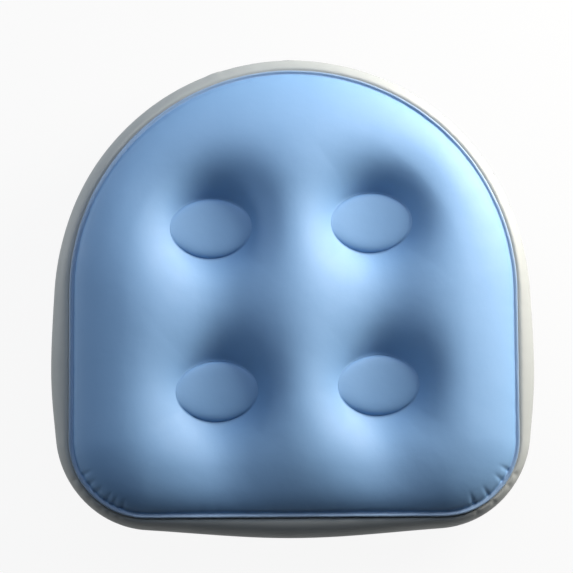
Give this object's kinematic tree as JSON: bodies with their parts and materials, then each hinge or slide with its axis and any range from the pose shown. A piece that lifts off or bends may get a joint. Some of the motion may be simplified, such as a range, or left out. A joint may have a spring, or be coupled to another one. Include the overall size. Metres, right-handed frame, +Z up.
{
  "type": "hot tub booster seat",
  "caption": "Air-filled vinyl booster seat for a hot tub bench, with a round back, straight front, sunken tuft buttons, suction cups below and a stoppered air valve in its back wall.",
  "frame": {"origin": "middle of the overall plan, on the plane of the suction cups' rims", "axes": "+Z up, the straight front edge faces -Y, the round back faces +Y, +X to the right of someone looking from the front"},
  "size_m": [0.396, 0.3934, 0.082],
  "materials": {
    "blue_vinyl": "satin",
    "grey_vinyl": "satin",
    "clear_vinyl": "gloss"
  },
  "bodies": {
    "cushion": {"top_panel": "blue_vinyl", "side_band": "grey_vinyl", "base_panel": "grey_vinyl", "tuft_button_back_left": "blue_vinyl", "tuft_button_back_right": "blue_vinyl", "tuft_button_front_left": "blue_vinyl", "tuft_button_front_right": "blue_vinyl", "tuft_tube_back_left": "grey_vinyl", "tuft_tube_back_right": "grey_vinyl", "tuft_tube_front_left": "grey_vinyl", "tuft_tube_front_right": "grey_vinyl", "cup_patch_back_left": "grey_vinyl", "cup_patch_back_right": "grey_vinyl", "cup_patch_front_left": "grey_vinyl", "cup_patch_front_right": "grey_vinyl", "valve_body": "grey_vinyl"},
    "cup_back_left": {"suction_cup_back_left": "clear_vinyl"},
    "cup_back_right": {"suction_cup_back_right": "clear_vinyl"},
    "cup_front_left": {"suction_cup_front_left": "clear_vinyl"},
    "cup_front_right": {"suction_cup_front_right": "clear_vinyl"},
    "flap": {"valve_flap": "clear_vinyl"},
    "plug": {"valve_plug": "grey_vinyl"}
  },
  "joints": [
    {"name": "plug_strap", "type": "hinge", "parent": "cushion", "child": "plug", "pos_m": [0, 0.19445, 0.0307], "axis": [-1, 0, 0], "range_deg": [0, 130]},
    {"name": "flap_edge", "type": "hinge", "parent": "cushion", "child": "flap", "pos_m": [0, 0.18105, 0.0445], "axis": [-1, 0, 0], "range_deg": [0, 40]},
    {"name": "cup_swivel_back_left", "type": "hinge", "parent": "cushion", "child": "cup_back_left", "pos_m": [-0.09617, 0.09892, 0.009], "axis": [0, 0, 1], "continuous": true},
    {"name": "cup_swivel_back_right", "type": "hinge", "parent": "cushion", "child": "cup_back_right", "pos_m": [0.09617, 0.09892, 0.009], "axis": [0, 0, 1], "continuous": true},
    {"name": "cup_swivel_front_left", "type": "hinge", "parent": "cushion", "child": "cup_front_left", "pos_m": [-0.13102, -0.12827, 0.009], "axis": [0, 0, 1], "continuous": true},
    {"name": "cup_swivel_front_right", "type": "hinge", "parent": "cushion", "child": "cup_front_right", "pos_m": [0.13102, -0.12827, 0.009], "axis": [0, 0, 1], "continuous": true}
  ]
}
